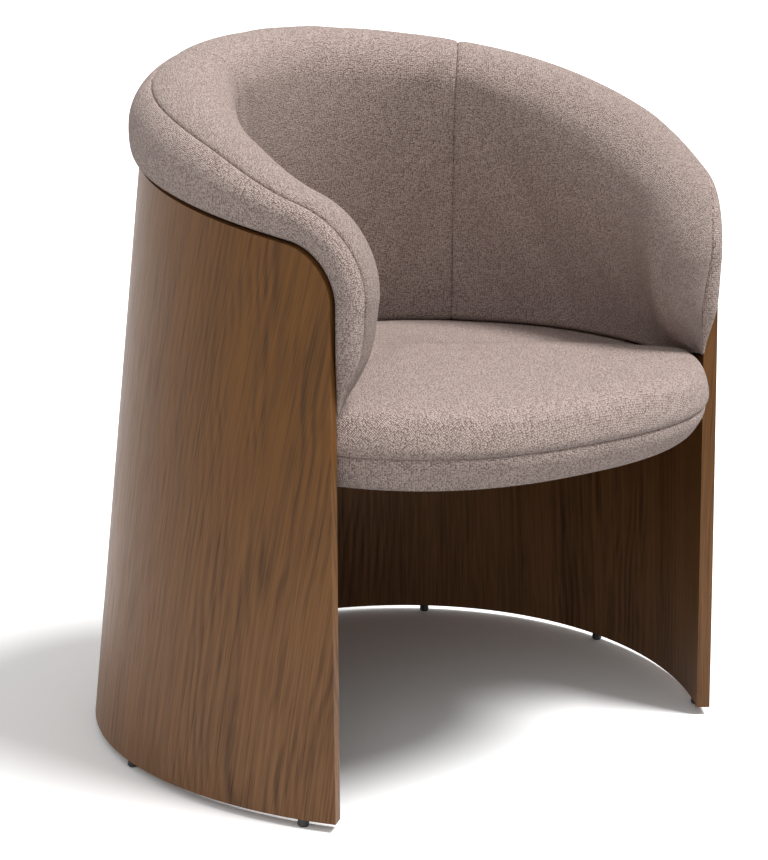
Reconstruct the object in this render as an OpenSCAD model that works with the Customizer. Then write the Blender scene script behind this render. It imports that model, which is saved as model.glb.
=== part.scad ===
/* [Shell] */
// Radius of the shell's plan at the floor
base_r = 350; // [330:5:370]
// Thickness of the bent plywood
wall = 15; // [13:1:17]
// Gap between the shell's foot and the floor
foot_gap = 9; // [6:0.5:12]
// Height of the rim, over the middle of the plan
rim_h = 609; // [590:1:630]
// Radius of the rim's two front corners
corner_r = 57; // [45:1:65]
// Distance of the two front edges from the middle of the plan
front_d = 223.6; // [215:0.5:230]

/* [Seat] */
// Height of the seat's underside
seat_h = 337; // [325:1:345]
// Height of the seam round the seat, over its underside
border_h = 37; // [32:1:42]
// Rise of the seat's crown over that seam
crown_h = 50; // [42:1:56]
// How far the seat stands out past the shell's front edges
seat_overhang = 101; // [90:1:110]
// Gap between the seat and the pad's carrier
seat_gap = 8; // [6:0.5:12]
// Gap between the seat and the shell's two front edges
edge_gap = 2.3; // [2:0.1:4]
// Thickness of the plywood seat deck
deck_t = 12; // [9:1:15]

/* [Back pad] */
// Height of the roll's top over the rim, at the back
roll_h = 102; // [92:1:110]
// Thickness of the roll inside the rim, at the back
roll_in = 73; // [66:1:80]
// Bulge of the roll past the rim's inner edge, at the back
roll_out = 24; // [20:1:28]
// Thickness of the pad where it meets the seat, at the back
pad_t = 44; // [38:1:48]
// Thickness of the plywood carrier inside the pad
carrier_t = 8; // [6:0.5:10]
// Gap between the pad's underside and the seam round the seat
pad_lift = 29; // [27:1:34]
// Thickness of the sewn cover
cloth_t = 1.8; // [1.2:0.1:2.4]

/* [Fixings] */
// Diameter of a glide
glide_d = 12; // [10:0.5:14]
// Diameter of a glide's pin
pin_d = 3; // [2.5:0.1:4]
// Length of a glide's pin inside the shell
pin_l = 22; // [16:1:28]
// Depth of a seat rail, from the shell inwards
rail_d = 78; // [74:1:82]
// Height of a seat rail
rail_h = 24; // [20:1:30]
// Shank diameter of the wood screws
screw_d = 4; // [3.5:0.1:4.5]
// Shank diameter of the deck bolts
bolt_d = 6; // [5:0.5:6.5]

/* [Hidden] */
$fn = 32;

// Plan of the shell: a circle, a little squared at the back and drawn in at the arms
oval_share = 0.023;
square_share = -0.0172;
// How much the plan shrinks and moves forward for each unit of height
taper_share = 0.0645;
rake_share = 0.0844;
// Lean of the front edges and slope of the rim, for each unit of height or depth
edge_lean_share = 0.0152;
rim_slope_share = 0.19;
// Mean angle of the front edges, from the back
edge_a = 126;

// Clearances: soft face to face, seated wood, and a shank in its hole
soft_gap = 0.3;
seat_fit = 0.3;
hole_fit = 0.05;
cut_over = 60;
// Seam of the back pad, in rim steps, and the carrier's end
seam_q = 1.5;
carrier_q = 3.25;

// Rim steps 0 to 4 run along the top, 4 to 5 round the corner, 5 to 7 down the front edge
rim_shares = [0, 0.30, 0.55, 0.80, 1];
roll_h_shares = [1, 0.95, 0.89, 0.71, 0.46, 0.35, 0.25, 0.02];
roll_in_shares = [1, 1.05, 1.07, 0.85, 0.66, 0.68, 0.62, 0.04];
roll_out_shares = [1, 1.04, 1.25, 1.12, 0.75, 0.58, 0.46, 0.02];
pad_t_shares = [1, 0.93, 0.77, 0.70, 0.64, 0.52, 0.30, 0.07];
lean_shares = [0, 0, 0.01, 0.05, 0.10, 0.105, 0.05, 0.004];
slot_share = 0.42;
tip_rise = 12;

glide_step_a = 41.5;
carrier_screw_share = 0.944;
rail_screw_shares = [0.15, 0.5, 0.85];
rail_bolt_shares = [0.32, 0.68];
side_rail_a0 = 54;
side_rail_a1 = 102;
back_rail_a = 33;

screw_head_d = 2 * screw_d;
screw_head_l = 0.6 * screw_d;
screw_bite = 0.62 * wall;
rail_sink = 0.2 * rail_d;
carrier_sink = 0.4 * carrier_t;
rail_bite = rail_d - rail_sink + screw_bite;
carrier_bite = carrier_t - carrier_sink + seat_fit + screw_bite;
screw_hole_d = screw_d + 2 * hole_fit;
bolt_hole_d = bolt_d + 2 * hole_fit;
bolt_in = 0.86 * rail_d;
bolt_head_d = 2 * bolt_d;
bolt_head_l = 0.6 * bolt_d;
tee_d = 3.2 * bolt_d;
tee_t = 0.25 * bolt_d;
tee_barrel_d = 1.35 * bolt_d;
dust_t = 1;
deck_in = 3;
glide_seat = 3;
skirt_h = 0.72 * (border_h + pad_lift);

// Heights that several pieces share
deck_z = seat_h + dust_t;
seam_z = seat_h + border_h;
pad_z = seam_z + pad_lift;
tip_z = pad_z + tip_rise;
rail_z = seat_h - seat_fit - rail_h;

function mix(a, b, t) = a + (b - a) * t;
function smooth(t) = t * t * (3 - 2 * t);
function clip(t) = max(0, min(1, t));
function flat(rows) = [for (r = rows) for (p = r) p];

// Uniform cubic spline through a table of values
function val(t, i) = t[max(0, min(len(t) - 1, i))];
function spline(t, q) =
    let (i = min(len(t) - 2, floor(q)), u = q - i,
        a = val(t, i), b = val(t, i + 1),
        ma = (b - val(t, i - 1)) / 2, mb = (val(t, i + 2) - a) / 2)
    a * (2 * u^3 - 3 * u^2 + 1) + ma * (u^3 - 2 * u^2 + u) + b * (3 * u^2 - 2 * u^3) + mb * (u^3 - u^2);

// Middle of the chair's depth, from the middle of the plan: the model's origin lies there
foot_y = plan(0) * shrink(foot_gap) - rake_share * foot_gap;
nose_y = front_d - edge_lean_share * (seat_h + border_h) + seat_overhang;
mid_y = (foot_y - nose_y) / 2;

// Plan radius at an angle from the back, and its change with the angle
function plan(a) = base_r * (1 + oval_share * cos(2 * a) + square_share * cos(3 * a));
function plan_d(a) = -base_r * (2 * oval_share * sin(2 * a) + 3 * square_share * sin(3 * a));
function shrink(z) = 1 - taper_share * z / base_r;
function out_dir(a) =
    let (r = plan(a), d = plan_d(a), t = [d * sin(a) + r * cos(a), d * cos(a) - r * sin(a)])
    [-t[1], t[0]] / norm(t);
function face_a(a) = let (o = out_dir(a)) atan2(o[1], o[0]);

// Point at plan angle a and height z, moved n inwards from the shell's outer face: from the middle of
// the plan, and from the middle of the chair's depth
function plan_at(a, z, n) =
    let (r = plan(a) * shrink(z), o = out_dir(a))
    [r * sin(a) - n * o[0], r * cos(a) - rake_share * z - n * o[1], z];
function at(a, z, n) = plan_at(a, z, n) - [0, mid_y, 0];

// Angle of the front edge at a height, and height of the rim at an angle
function edge_at(z) =
    acos((-front_d + (edge_lean_share + rake_share) * z) / (plan(edge_a) * shrink(z)));
function rim_at(a) =
    let (k = plan(a) * cos(a))
    (rim_h + rim_slope_share * k) / (1 + rim_slope_share * (k * taper_share / base_r + rake_share));

// Front corner of the rim: a circle that touches the front edge and the sloped rim
corner_a = edge_at(rim_at(edge_a - 10));
deg_l = PI / 180 * norm([plan(corner_a), plan_d(corner_a)]) * shrink(rim_h - corner_r);
end_slope = (rim_at(corner_a - 1) - rim_at(corner_a)) / deg_l;
end_q = sqrt(1 + end_slope^2);
corner_z = rim_at(corner_a) + end_slope * corner_r - corner_r * end_q;
corner_s = corner_r * (1 - end_slope / end_q);
top_end_a = corner_a - corner_s / deg_l;
turn_a = 90 - atan(end_slope);

// Rim point [angle, height] at a rim step
function rim_top(q) =
    let (a = top_end_a * mix(val(rim_shares, floor(q)), val(rim_shares, floor(q) + 1), q - floor(q)))
    [a, rim_at(a)];
function rim_corner(u) =
    let (p = 180 - turn_a * (1 - u), z = corner_z + corner_r * sin(p))
    [mix(corner_a, edge_at(z), smooth(u)) - corner_r * (1 + cos(p)) / deg_l, z];
function rim_front(u) = let (z = mix(corner_z, tip_z, u)) [edge_at(z), z];
function rim(q) = q < 4 ? rim_top(q) : q < 5 ? rim_corner(q - 4) : rim_front((q - 5) / 2);

// Direction out of the rim, in the shell's own surface, for a unit of length
function rim_out(q) =
    let (h = 0.02, p0 = rim(max(0, q - h)), p1 = rim(min(7, q + h)),
        du = (p1[0] - p0[0]) * deg_l, dz = p1[1] - p0[1], l = norm([du, dz]))
    q == 0 ? [0, 1] : [-dz / l / deg_l, du / l];

// Roll of the pad round the rim: an ellipse through the rim's inner edge
function roll(q) =
    let (out = roll_out * spline(roll_out_shares, q), in = roll_in * spline(roll_in_shares, q),
        h = roll_h * spline(roll_h_shares, q), an = (in + out) / 2, nc = (in - out) / 2,
        k = sqrt(1 - (nc / an)^2), ah = h / (1 + k))
    [ah, an, ah * k, nc];
function near_rim(q, h, n) =
    let (p = rim(q) + h * rim_out(q))
    at(p[0], p[1], wall + n);
function foot_of(q) =
    let (r = rim(q), u = max(0, q - 5) / 2)
    [r[0] - edge_a * spline(lean_shares, q), mix(pad_z, tip_z, smooth(u))];

function slot_h(q) = slot_share * roll_h * spline(roll_h_shares, q);

// Growth of the panel up to the roll: hollow at the back, full along the arms
function swell(t, q) = mix(smooth(t), t * (2 - t), smooth(clip((q - 1.5) / 2.5)));

// One section of the pad's outside, from the seat over the roll to the rim, sunk by off
panel_ts = [0, 0.25, 0.5, 0.75];
roll_ts = [90, 60, 32, 4, -24, -54, -84, -114];
function pad_outside(q, off) =
    let (e = roll(q), f = foot_of(q), o = rim_out(q), r = rim(q), m = r + e[2] * o,
        nb = pad_t * spline(pad_t_shares, q), ni = e[3] + e[1], end = -acos(-(e[2] - soft_gap) / e[0]),
        ah = max(0.3 * e[0], e[0] - off), an = max(0.3 * e[1], e[1] - off))
    concat(
        [for (t = panel_ts) let (a = mix(f[0], m[0], t), z = mix(f[1], m[1], t))
            at(a, z, wall + max(0.4 * nb, mix(nb, ni, swell(t, q)) - off))],
        [for (p = concat(roll_ts, [end])) near_rim(q, e[2] + ah * cos(p), e[3] + an * sin(p))]);

// The same section's inside: up the carrier, over its top edge and down to the rim
function pad_inside(q) =
    let (on = q < carrier_q + 0.1, f = foot_of(q), r = rim(q), e = roll(q),
        n = on ? carrier_t + 3 * soft_gap : min(soft_gap, 0.1 * e[1]),
        s = on ? slot_h(q) : 0.1 * e[0],
        k = on ? soft_gap : 0.02 * e[0])
    concat(
        [for (t = [0, 0.3, 0.6, 0.95]) at(mix(f[0], r[0], t), mix(f[1], r[1], t), wall + n)],
        [near_rim(q, 0.5 * s, n), near_rim(q, 0.95 * s, n), near_rim(q, s, 0.7 * n)],
        [near_rim(q, s, 0.3 * n), near_rim(q, 0.95 * s, 0), near_rim(q, 0.6 * s, 0)],
        [near_rim(q, 0.4 * s, 0), near_rim(q, 0.2 * s, 0), near_rim(q, k, 0)]);

function side(q, s) = s < 0 ? [for (p = q) [-p[0], p[1], p[2]]] : q;
function steps(a, b, n) = [for (i = [0:n]) mix(a, b, i / n)];
top_qs = [0, 0.3, 0.6, 0.9, 1.2, 1.5, 1.8, 2.1, 2.4, 2.7, 3, 3.25, 3.5, 3.75, 4];
arm_qs = [4.2, 4.4, 4.6, 4.8, 5, 5.5, 6, 6.5, 7];
side_qs = concat(top_qs, arm_qs);
all_qs = concat([for (i = [len(side_qs) - 1:-1:1]) -side_qs[i]], side_qs);
function between(a, b) = [for (q = all_qs) if (q >= a && q <= b) q];

// Closed sheet between two grids of points. A ring's rows join up, and its last line of points
// is closed by a flat cap on each side when capped.
module sheet(top, under, ring = false, capped = false) {
    ni = len(top);
    nj = len(top[0]);
    last = ring ? ni - 1 : ni - 2;
    function id(s, i, j) = (s * ni + i % ni) * nj + j;
    function quad(a, b, c, d) = [[a, b, c], [a, c, d]];
    faces = [for (i = [0:last], j = [0:nj - 2], f = concat(
            quad(id(0, i, j), id(0, i + 1, j), id(0, i + 1, j + 1), id(0, i, j + 1)),
            quad(id(1, i, j), id(1, i, j + 1), id(1, i + 1, j + 1), id(1, i + 1, j)))) f];
    foot = [for (i = [0:last], f = quad(id(1, i, 0), id(1, i + 1, 0), id(0, i + 1, 0), id(0, i, 0))) f];
    head = capped
        ? [[for (i = [0:last]) id(0, i, nj - 1)], [for (i = [last:-1:0]) id(1, i, nj - 1)]]
        : [for (i = [0:last], f = quad(id(0, i, nj - 1), id(0, i + 1, nj - 1),
            id(1, i + 1, nj - 1), id(1, i, nj - 1))) f];
    ends = ring ? [] : [for (j = [0:nj - 2], f = concat(
            quad(id(0, 0, j), id(0, 0, j + 1), id(1, 0, j + 1), id(1, 0, j)),
            quad(id(1, ni - 1, j), id(1, ni - 1, j + 1), id(0, ni - 1, j + 1), id(0, ni - 1, j)))) f];
    polyhedron(concat(flat(top), flat(under)), concat(faces, foot, head, ends));
}

// Something that stands on the shell's inner face and points outwards, n from the outer face
module on_face(a, z, n) {
    translate(at(a, z, n)) rotate([0, 0, face_a(a)]) rotate([0, 90, 0]) children();
}
function glide_as() = [for (i = [-3:3]) i * glide_step_a];
carrier_screw_as = [for (i = [-3:3]) i / 3 * carrier_screw_share * foot_of(carrier_q)[0]];
module at_glides() {
    for (a = glide_as()) translate(at(a, foot_gap, wall / 2)) children();
}
rail_spans = [[-side_rail_a1, -side_rail_a0], [side_rail_a0, side_rail_a1], [-back_rail_a, back_rail_a]];
rail_screw_as = [for (s = rail_spans, t = rail_screw_shares) mix(s[0], s[1], t)];
rail_bolt_as = [for (s = rail_spans, t = rail_bolt_shares) mix(s[0], s[1], t)];
module at_rail_screws() {
    for (a = rail_screw_as) on_face(a, rail_z + rail_h / 2, wall + rail_d - rail_sink) children();
}
module at_rail_bolts() {
    for (a = rail_bolt_as) translate(at(a, rail_z, wall + bolt_in)) children();
}
module at_carrier_screws() {
    for (a = carrier_screw_as) on_face(a, seam_z, wall + seat_fit + carrier_t - carrier_sink) children();
}

// Wrap shell: a bent band open at the front, its edges cut square to the face all round
shell_qs = concat(steps(0, 4, 48), [for (i = [1:9]) 4 + i / 9]);
shell_all_qs = concat([for (i = [len(shell_qs) - 1:-1:1]) -shell_qs[i]], shell_qs);
shell_ts = [0, 0.25, 0.5, 0.75, 1];
function shell_line(q, n) =
    let (p = abs(q), r = rim(p), w = smooth(p / 5))
    side([for (t = shell_ts) let (z = mix(foot_gap, r[1], t))
        at(r[0] + w * (edge_at(z) - edge_at(r[1])), z, n)], q);
module wrap_shell() {
    color("#6f5137") difference() {
        sheet([for (q = shell_all_qs) shell_line(q, 0)], [for (q = shell_all_qs) shell_line(q, wall)]);
        at_glides() cylinder(h = pin_l + hole_fit, d = pin_d + 2 * hole_fit);
        at_rail_screws() cylinder(h = rail_bite + hole_fit, d = screw_hole_d);
        at_carrier_screws() cylinder(h = carrier_bite + hole_fit, d = screw_hole_d);
    }
}

// Glides: moulded feet, each on a steel pin driven into the shell's foot
module glides() {
    color("#17181a") at_glides() translate([0, 0, -foot_gap]) rotate_extrude()
        difference() {
            polygon([[0, 0], [0.38 * glide_d, 0], [glide_d / 2, 0.2 * foot_gap],
                [0.44 * glide_d, foot_gap], [0, foot_gap]]);
            translate([0, glide_seat]) square([pin_d / 2 + hole_fit, foot_gap]);
        }
}
module glide_pins() {
    color("#a9adb0") at_glides() translate([0, 0, glide_seat - foot_gap])
        cylinder(h = foot_gap - glide_seat + pin_l, d = pin_d);
}

// Seat rails: bent cleats on the shell's inner face that carry the deck
module rail(span) {
    as = steps(span[0], span[1], 16);
    color("#8a6a48") difference() {
        sheet([for (a = as) [at(a, rail_z, wall + seat_fit), at(a, rail_z + rail_h, wall + seat_fit)]],
            [for (a = as) [at(a, rail_z, wall + rail_d), at(a, rail_z + rail_h, wall + rail_d)]]);
        for (t = rail_screw_shares)
            on_face(mix(span[0], span[1], t), rail_z + rail_h / 2, wall + rail_d - rail_sink) {
                translate([0, 0, -cut_over]) cylinder(h = rail_d + 2 * cut_over, d = screw_hole_d);
                translate([0, 0, -cut_over]) cylinder(h = cut_over, d = 1.3 * screw_head_d);
            }
        for (t = rail_bolt_shares)
            translate(at(mix(span[0], span[1], t), rail_z, wall + bolt_in))
                translate([0, 0, -cut_over]) cylinder(h = rail_h + 2 * cut_over, d = bolt_hole_d);
    }
}
module seat_rail_left() { rail(rail_spans[0]); }
module seat_rail_right() { rail(rail_spans[1]); }
module seat_rail_back() { rail(rail_spans[2]); }

module screw(shank_l) {
    cylinder(h = shank_l, d = screw_d);
    translate([0, 0, -screw_head_l]) cylinder(h = screw_head_l, d = screw_head_d);
}
module rail_screws() {
    color("#b9bcbf") at_rail_screws() screw(rail_bite);
}
module carrier_screws() {
    color("#b9bcbf") at_carrier_screws() screw(carrier_bite);
}

// Seat outline: two half superellipses that meet at the widest place, drawn in by d and then
// shrunk by a share. The angles are bunched where the outline is flattest.
seat_y = -0.023 * base_r;
seat_w = plan(90) * shrink(seam_z) - wall - carrier_t - seat_gap;
seat_back = plan(0) * shrink(seam_z) - rake_share * seam_z - wall - carrier_t - seat_gap - seat_y;
seat_front = nose_y + seat_y;
seat_back_pow = 2.1;
// Squareness of the front half: the outline passes the shell's front edges at their gap
edge_p = plan_at(edge_at(seam_z), seam_z, wall);
edge_x_share = (edge_p[0] - edge_gap) / seat_w;
edge_y_share = (seat_y - edge_p[1]) / seat_front;
function front_pow(lo, hi, n) =
    let (m = (lo + hi) / 2)
    n == 0 ? m
    : pow(edge_x_share, m) + pow(edge_y_share, m) > 1 ? front_pow(m, hi, n - 1)
    : front_pow(lo, m, n - 1);
seat_front_pow = front_pow(1, 6, 24);
seat_steps = 36;
function seat_at(a, d, share = 0) =
    let (c = cos(a), s = sin(a), p = c > 0 ? seat_back_pow : seat_front_pow,
        h = c > 0 ? seat_back : seat_front)
    [(seat_w - d) * (1 - share) * sign(s) * pow(abs(s), 2 / p),
        seat_y - mid_y + (h - d) * (1 - share) * sign(c) * pow(abs(c), 2 / p)];
bunch_a = 6;
seat_as = [for (i = [0:seat_steps - 1]) let (t = 360 * i / seat_steps) t - bunch_a * sin(4 * t)];
// Rows of points from two profiles, the second one where the back pad lies on the seat
function seat_rows(fronts, backs) = [for (a = seat_as) let (w = smooth(clip((-cos(a) - 0.22) / 0.34)))
    [for (i = [0:len(fronts) - 1])
        let (p = mix(backs[i], fronts[i], w), q = seat_at(a, p[0], p[2])) [q[0], q[1], p[1]]]];

// Seat profiles: how far in from the outline, height over the underside, and shrink share
border_r = 0.77 * border_h;
border_in_shares = [1, 0.715, 0.46, 0.29, 0.11, 0.015];
border_up_shares = [0, 0.11, 0.27, 0.46, 0.73, 1];
function border_profile(off) = [for (i = [0:len(border_in_shares) - 1]) let (u = border_up_shares[i])
    [border_r * border_in_shares[i] + off, border_h * u + off * (1 - u), 0]];
crown_in_shares = [0.01, -0.028, 0.012, 0.124, 0, 0, 0];
crown_shrink_shares = [0, 0, 0, 0, 0.06, 0.26, 0.8];
crown_up_shares = [0, 0.16, 0.42, 0.72, 0.88, 0.96, 1];
function crown_row(off, i, h, u, share) =
    [crown_h * crown_in_shares[i] + off * (1 - u^2), border_h + h - off * sqrt(u), share];
function crown_profile(off) = [for (i = [0:len(crown_in_shares) - 1]) let (u = crown_up_shares[i])
    crown_row(off, i, crown_h * u, u, crown_shrink_shares[i])];
// Under the pad the crown stays below the pad's underside, and rises in front of it
pressed_h = pad_lift - 2 * soft_gap;
pressed_up_shares = [0, 0.28, 0.70, 0.93, 1, 1, 1];
pressed_rise_shares = [0, 0, 0, 0, 0, 0.53, 1];
pressed_shrink_shares = [0, 0, 0, 0, 0.10, 0.30, 0.86];
function pressed_profile(off) = [for (i = [0:len(crown_in_shares) - 1])
    let (h = mix(pressed_h * pressed_up_shares[i], crown_h, pressed_rise_shares[i]))
    crown_row(off, i, h, crown_up_shares[i], pressed_shrink_shares[i])];
function lift(profile, z) = [for (p = profile) [p[0], p[1] + z, p[2]]];

module seat_deck() {
    color("#a98a62") difference() {
        translate([0, 0, deck_z]) linear_extrude(deck_t)
            polygon([for (a = seat_as) seat_at(a, border_r + deck_in)]);
        at_rail_bolts() cylinder(h = rail_h + deck_t + cut_over, d = tee_barrel_d + 2 * hole_fit);
    }
}
module deck_tee_nuts() {
    color("#9fa3a6") at_rail_bolts() translate([0, 0, deck_z - rail_z]) difference() {
        union() {
            cylinder(h = deck_t, d = tee_barrel_d);
            translate([0, 0, deck_t]) cylinder(h = tee_t, d = tee_d);
        }
        translate([0, 0, -cut_over]) cylinder(h = deck_t + tee_t + 2 * cut_over, d = bolt_hole_d);
    }
}
module deck_bolts() {
    color("#b9bcbf") at_rail_bolts() {
        cylinder(h = deck_z + deck_t - rail_z, d = bolt_d);
        translate([0, 0, -bolt_head_l]) cylinder(h = bolt_head_l, d = bolt_head_d);
    }
}
module seat_dust_cover() {
    color("#222222") difference() {
        translate([0, 0, seat_h]) linear_extrude(dust_t)
            polygon([for (a = seat_as) seat_at(a, 1.2 * border_r)]);
        at_rail_bolts() cylinder(h = rail_h + cut_over, d = bolt_hole_d);
    }
}

// Seat foam: moulded round the deck's edge, hollow underneath where the deck and tee nuts are
module seat_foam() {
    off = cloth_t + soft_gap;
    under = deck_t + dust_t + tee_t + soft_gap;
    rest = border_r + deck_in - soft_gap;
    edge = [for (i = [0:4]) border_profile(off)[i]];
    inside = lift(concat([for (t = [0, 0.25, 0.5, 0.75, 1]) [rest, mix(dust_t + 2 * off, under, t), 0]],
        [for (t = [0.04, 0.1, 0.2, 0.34, 0.5, 0.68, 0.86]) [rest, under, t]]), seat_h);
    color("#e6dcb8") sheet(
        seat_rows(lift(concat(edge, crown_profile(off)), seat_h),
            lift(concat(edge, pressed_profile(off)), seat_h)),
        seat_rows(inside, inside), ring = true, capped = true);
}
module seat_border_cover() {
    outer = lift(border_profile(0), seat_h);
    inner = lift(border_profile(cloth_t), seat_h);
    color("#a8948b") sheet(seat_rows(outer, outer), seat_rows(inner, inner), ring = true);
}
module seat_top_cover() {
    color("#b7a49b") sheet(seat_rows(lift(crown_profile(0), seat_h), lift(pressed_profile(0), seat_h)),
        seat_rows(lift(crown_profile(cloth_t), seat_h), lift(pressed_profile(cloth_t), seat_h)),
        ring = true, capped = true);
}

// Carrier: a bent plywood band behind the foam, screwed to the shell below the seat's top
module pad_carrier() {
    qs = between(-carrier_q, carrier_q);
    function line(q, n) =
        let (p = abs(q), f = foot_of(p), r = rim(p), s = slot_h(p) - 2 * soft_gap)
        side([at(f[0], pad_z - skirt_h, wall + n), at(f[0], f[1], wall + n), at(r[0], r[1], wall + n),
            near_rim(p, s, n)], q);
    color("#c2a06f") difference() {
        sheet([for (q = qs) line(q, seat_fit)], [for (q = qs) line(q, seat_fit + carrier_t)]);
        at_carrier_screws() translate([0, 0, -cut_over]) {
            cylinder(h = carrier_t + 2 * cut_over, d = screw_hole_d);
            cylinder(h = cut_over, d = 1.3 * screw_head_d);
        }
    }
}
module back_foam() {
    color("#e6dcb8") sheet([for (q = all_qs) side(pad_outside(abs(q), cloth_t + soft_gap), q)],
        [for (q = all_qs) side(pad_inside(abs(q)), q)]);
}

// Covers: three inner panels up to the seam on the roll, and a facing strip outside it
seam_j = 8;
function part_of(row, a, b) = [for (j = [a:b]) row[j]];
module cover(q0, q1, j0, j1) {
    color("#9c8880") sheet([for (q = between(q0, q1)) side(part_of(pad_outside(abs(q), 0), j0, j1), q)],
        [for (q = between(q0, q1)) side(part_of(pad_outside(abs(q), cloth_t), j0, j1), q)]);
}
module back_cover_centre() { cover(-seam_q, seam_q, 0, seam_j); }
module back_cover_left() { cover(-7, -seam_q, 0, seam_j); }
module back_cover_right() { cover(seam_q, 7, 0, seam_j); }
module roll_facing() { cover(-7, 7, seam_j, 12); }

wrap_shell();
glides();
glide_pins();
seat_rail_left();
seat_rail_right();
seat_rail_back();
rail_screws();
seat_deck();
deck_tee_nuts();
deck_bolts();
seat_dust_cover();
seat_foam();
seat_border_cover();
seat_top_cover();
pad_carrier();
carrier_screws();
back_foam();
back_cover_centre();
back_cover_left();
back_cover_right();
roll_facing();
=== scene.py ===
"""Tub chair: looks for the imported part. A bent oak-veneered band, a padded roll over its rim and a thick seat.

Shapes are worked out in millimetres, with the same sizes and formulas as the part's source, and put
into the meshes in metres. Left and right are those of someone who looks at the chair from the front.
"""

import math

import bpy
import numpy as np
from mathutils import Matrix, Vector


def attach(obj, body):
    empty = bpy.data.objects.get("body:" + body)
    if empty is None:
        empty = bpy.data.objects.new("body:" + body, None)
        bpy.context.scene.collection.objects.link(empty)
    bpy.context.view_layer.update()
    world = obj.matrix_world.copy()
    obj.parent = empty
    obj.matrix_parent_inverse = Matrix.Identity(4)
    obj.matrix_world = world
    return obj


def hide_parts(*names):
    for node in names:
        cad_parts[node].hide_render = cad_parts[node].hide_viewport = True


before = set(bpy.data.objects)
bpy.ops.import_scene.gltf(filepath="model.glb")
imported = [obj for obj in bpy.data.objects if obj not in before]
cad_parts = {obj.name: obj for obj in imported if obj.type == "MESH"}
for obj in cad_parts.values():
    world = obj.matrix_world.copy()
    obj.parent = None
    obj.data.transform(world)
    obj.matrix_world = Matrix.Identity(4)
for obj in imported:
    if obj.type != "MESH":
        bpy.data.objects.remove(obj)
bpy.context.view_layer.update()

METRE = 0.001

# Sizes of the chair, in millimetres
BASE_R, WALL, FOOT_GAP, RIM_H, CORNER_R, FRONT_D = 350, 15, 9, 609, 57, 223.6
SEAT_H, BORDER_H, CROWN_H, SEAT_OVERHANG, SEAT_GAP = 337, 37, 50, 101, 8
ROLL_H, ROLL_IN, ROLL_OUT, PAD_T, CARRIER_T = 102, 73, 24, 44, 8
PAD_LIFT, CLOTH_T, SOFT_GAP, DECK_T, DUST_T = 29, 1.8, 0.3, 12, 1
OVAL, SQUARE, TAPER, RAKE = 0.023, -0.0172, 0.0645, 0.0844
EDGE_LEAN, RIM_SLOPE, EDGE_A, TIP_RISE = 0.0152, 0.19, math.radians(126), 12
SEAM_Q, END_Q, SEAM_ROLL, EDGE_TURN = 1.5, 7, -24, 9
SEAM_Z = SEAT_H + BORDER_H
PAD_Z = SEAM_Z + PAD_LIFT
TIP_Z = PAD_Z + TIP_RISE

# Values at whole rim steps, from the middle of the back to the tip
RIM_SHARES = (0, 0.30, 0.55, 0.80, 1)
ROLL_H_SHARES = (1, 0.95, 0.89, 0.71, 0.46, 0.35, 0.25, 0.02)
ROLL_IN_SHARES = (1, 1.05, 1.07, 0.85, 0.66, 0.68, 0.62, 0.04)
ROLL_OUT_SHARES = (1, 1.04, 1.25, 1.12, 0.75, 0.58, 0.46, 0.02)
PAD_T_SHARES = (1, 0.93, 0.77, 0.70, 0.64, 0.52, 0.30, 0.07)
SEAM_ANGLES = (-24, -30, -42, -40, -46, -36, -24, -24)
LEAN_SHARES = (0, 0, 0.01, 0.05, 0.10, 0.105, 0.05, 0.004)

# Rim steps by which the upright seams are drawn in, below and above, and over how many steps that fades
SEAM_DRAWN, DRAWN_REACH = (0.13, 0.30), 0.75

# Depth and width of the valley at the back's upright seams, its long seam and the seat's seam
UPRIGHT_SEAM, LONG_SEAM, SEAT_SEAM = (3.4, 1.3), (3.6, 1.4), (3.0, 1.5)

# The covers' simulation: pressure, largest shift of one run, share of it sewn in, and frames
PRESSURE, MOST_SWELL, SEWN_SHARE, FRAMES = 4.0, 5.0, 0.7, 20

# Colours as a screen shows them, the sky's level, the floor's own white and what the camera sees added
WOOD_LOW, WOOD_HIGH, WOOD_DARK = (134, 96, 64), (119, 79, 38), (52, 31, 17)
CLOTH_DARK, CLOTH_LIGHT = (124, 103, 95), (230, 211, 203)
SKY_LEVEL, FLOOR_WHITE, FLOOR_PALE = 0.50, 0.45, 0.78

# The veneer, in metres: a leaf's width, where the first leaf starts, where its middle lies, the spacing of
# the growth rings, and how much a ring narrows upwards
LEAF_W, LEAF_START, LEAF_MIDDLE, RING_W, RING_TAPER = 0.41, 0.90, 0.695, 0.0105, 0.060

# Loops of the cloth in a metre, across and up
LOOPS = (430, 640, 1)


def mix(a, b, t):
    """Straight blend from a to b."""
    return a + (b - a) * t


def smooth(t):
    """Cubic step with flat ends."""
    t = np.clip(t, 0, 1)
    return t * t * (3 - 2 * t)


def spline(table, q):
    """Uniform cubic through a table's values, q counting its steps."""
    t, q = np.asarray(table, float), np.asarray(q, float)
    i = np.clip(np.floor(q).astype(int), 0, len(t) - 2)
    u = q - i
    a, b = t[i], t[i + 1]
    ma = (b - t[np.maximum(i - 1, 0)]) / 2
    mb = (t[np.minimum(i + 2, len(t) - 1)] - a) / 2
    return a * (2 * u**3 - 3 * u**2 + 1) + ma * (u**3 - 2 * u**2 + u) + b * (3 * u**2 - 2 * u**3) + mb * (u**3 - u**2)


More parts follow.
